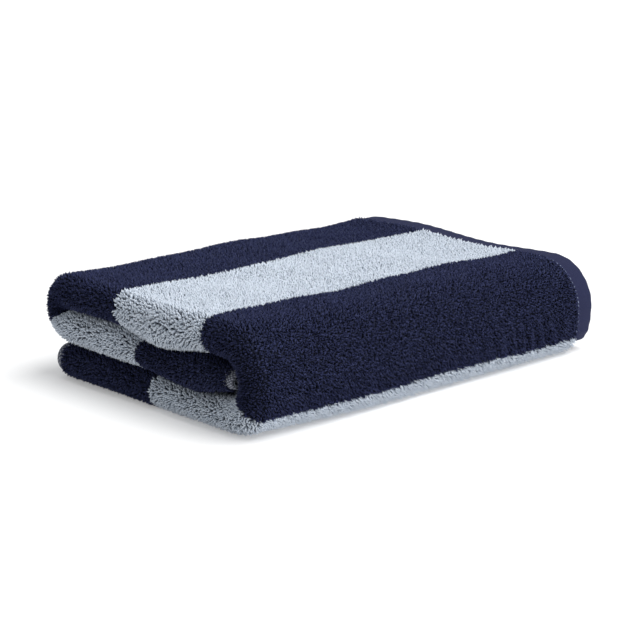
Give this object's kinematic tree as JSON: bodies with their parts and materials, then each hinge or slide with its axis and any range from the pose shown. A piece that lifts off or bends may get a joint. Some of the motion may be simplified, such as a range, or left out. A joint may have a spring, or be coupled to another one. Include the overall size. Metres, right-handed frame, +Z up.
{
  "type": "folded bath towel",
  "caption": "Striped terry bath towel folded into a rectangular pack, with flat-woven end hems and side hems; the upper part opens about the front fold.",
  "frame": {"origin": "centre of the pack's underside, on the surface it lies on", "axes": "+X along the folded length towards the end hems, +Y towards the back fold, +Z up; the front fold is at -Y"},
  "size_m": [0.3322, 0.2324, 0.0747],
  "materials": {
    "terry_pile": "navy and pale blue wide stripes, cotton loop pile on both faces",
    "end_hem_weave": "flat navy weave, turned double",
    "side_hem_weave": "flat grey-blue twill weave, turned double",
    "hem_thread": "pale blue-grey sewing thread, lockstitch",
    "side_thread": "grey-blue sewing thread, lockstitch"
  },
  "bodies": {
    "root": {"terry_bottom": "terry_pile", "terry_front_fold": "terry_pile", "outer_end_hem_bottom": "end_hem_weave", "outer_end_hem_front_fold": "end_hem_weave", "inner_end_hem_bottom": "end_hem_weave", "inner_end_hem_front_fold": "end_hem_weave", "outer_hem_thread_bottom": "hem_thread", "outer_hem_thread_front_fold": "hem_thread", "inner_hem_thread_bottom": "hem_thread", "inner_hem_thread_front_fold": "hem_thread", "side_hem_bottom": "side_hem_weave", "side_hem_thread_bottom": "side_thread"},
    "upper_tiers": {"terry_top": "terry_pile", "terry_back_fold": "terry_pile", "terry_middle": "terry_pile", "outer_end_hem_top": "end_hem_weave", "outer_end_hem_back_fold": "end_hem_weave", "outer_end_hem_middle": "end_hem_weave", "inner_end_hem_top": "end_hem_weave", "inner_end_hem_back_fold": "end_hem_weave", "inner_end_hem_middle": "end_hem_weave", "outer_hem_thread_top": "hem_thread", "outer_hem_thread_back_fold": "hem_thread", "outer_hem_thread_middle": "hem_thread", "inner_hem_thread_top": "hem_thread", "inner_hem_thread_back_fold": "hem_thread", "inner_hem_thread_middle": "hem_thread", "side_hem_middle": "side_hem_weave", "side_hem_thread_middle": "side_thread"}
  },
  "joints": [
    {"name": "front_fold_open", "type": "hinge", "parent": "root", "child": "upper_tiers", "pos_m": [0, -0.07887, 0.03735], "axis": [1, 0, 0], "range_deg": [0, 179], "deforming": ["terry_front_fold", "outer_end_hem_front_fold", "inner_end_hem_front_fold", "outer_hem_thread_front_fold", "inner_hem_thread_front_fold"]}
  ]
}
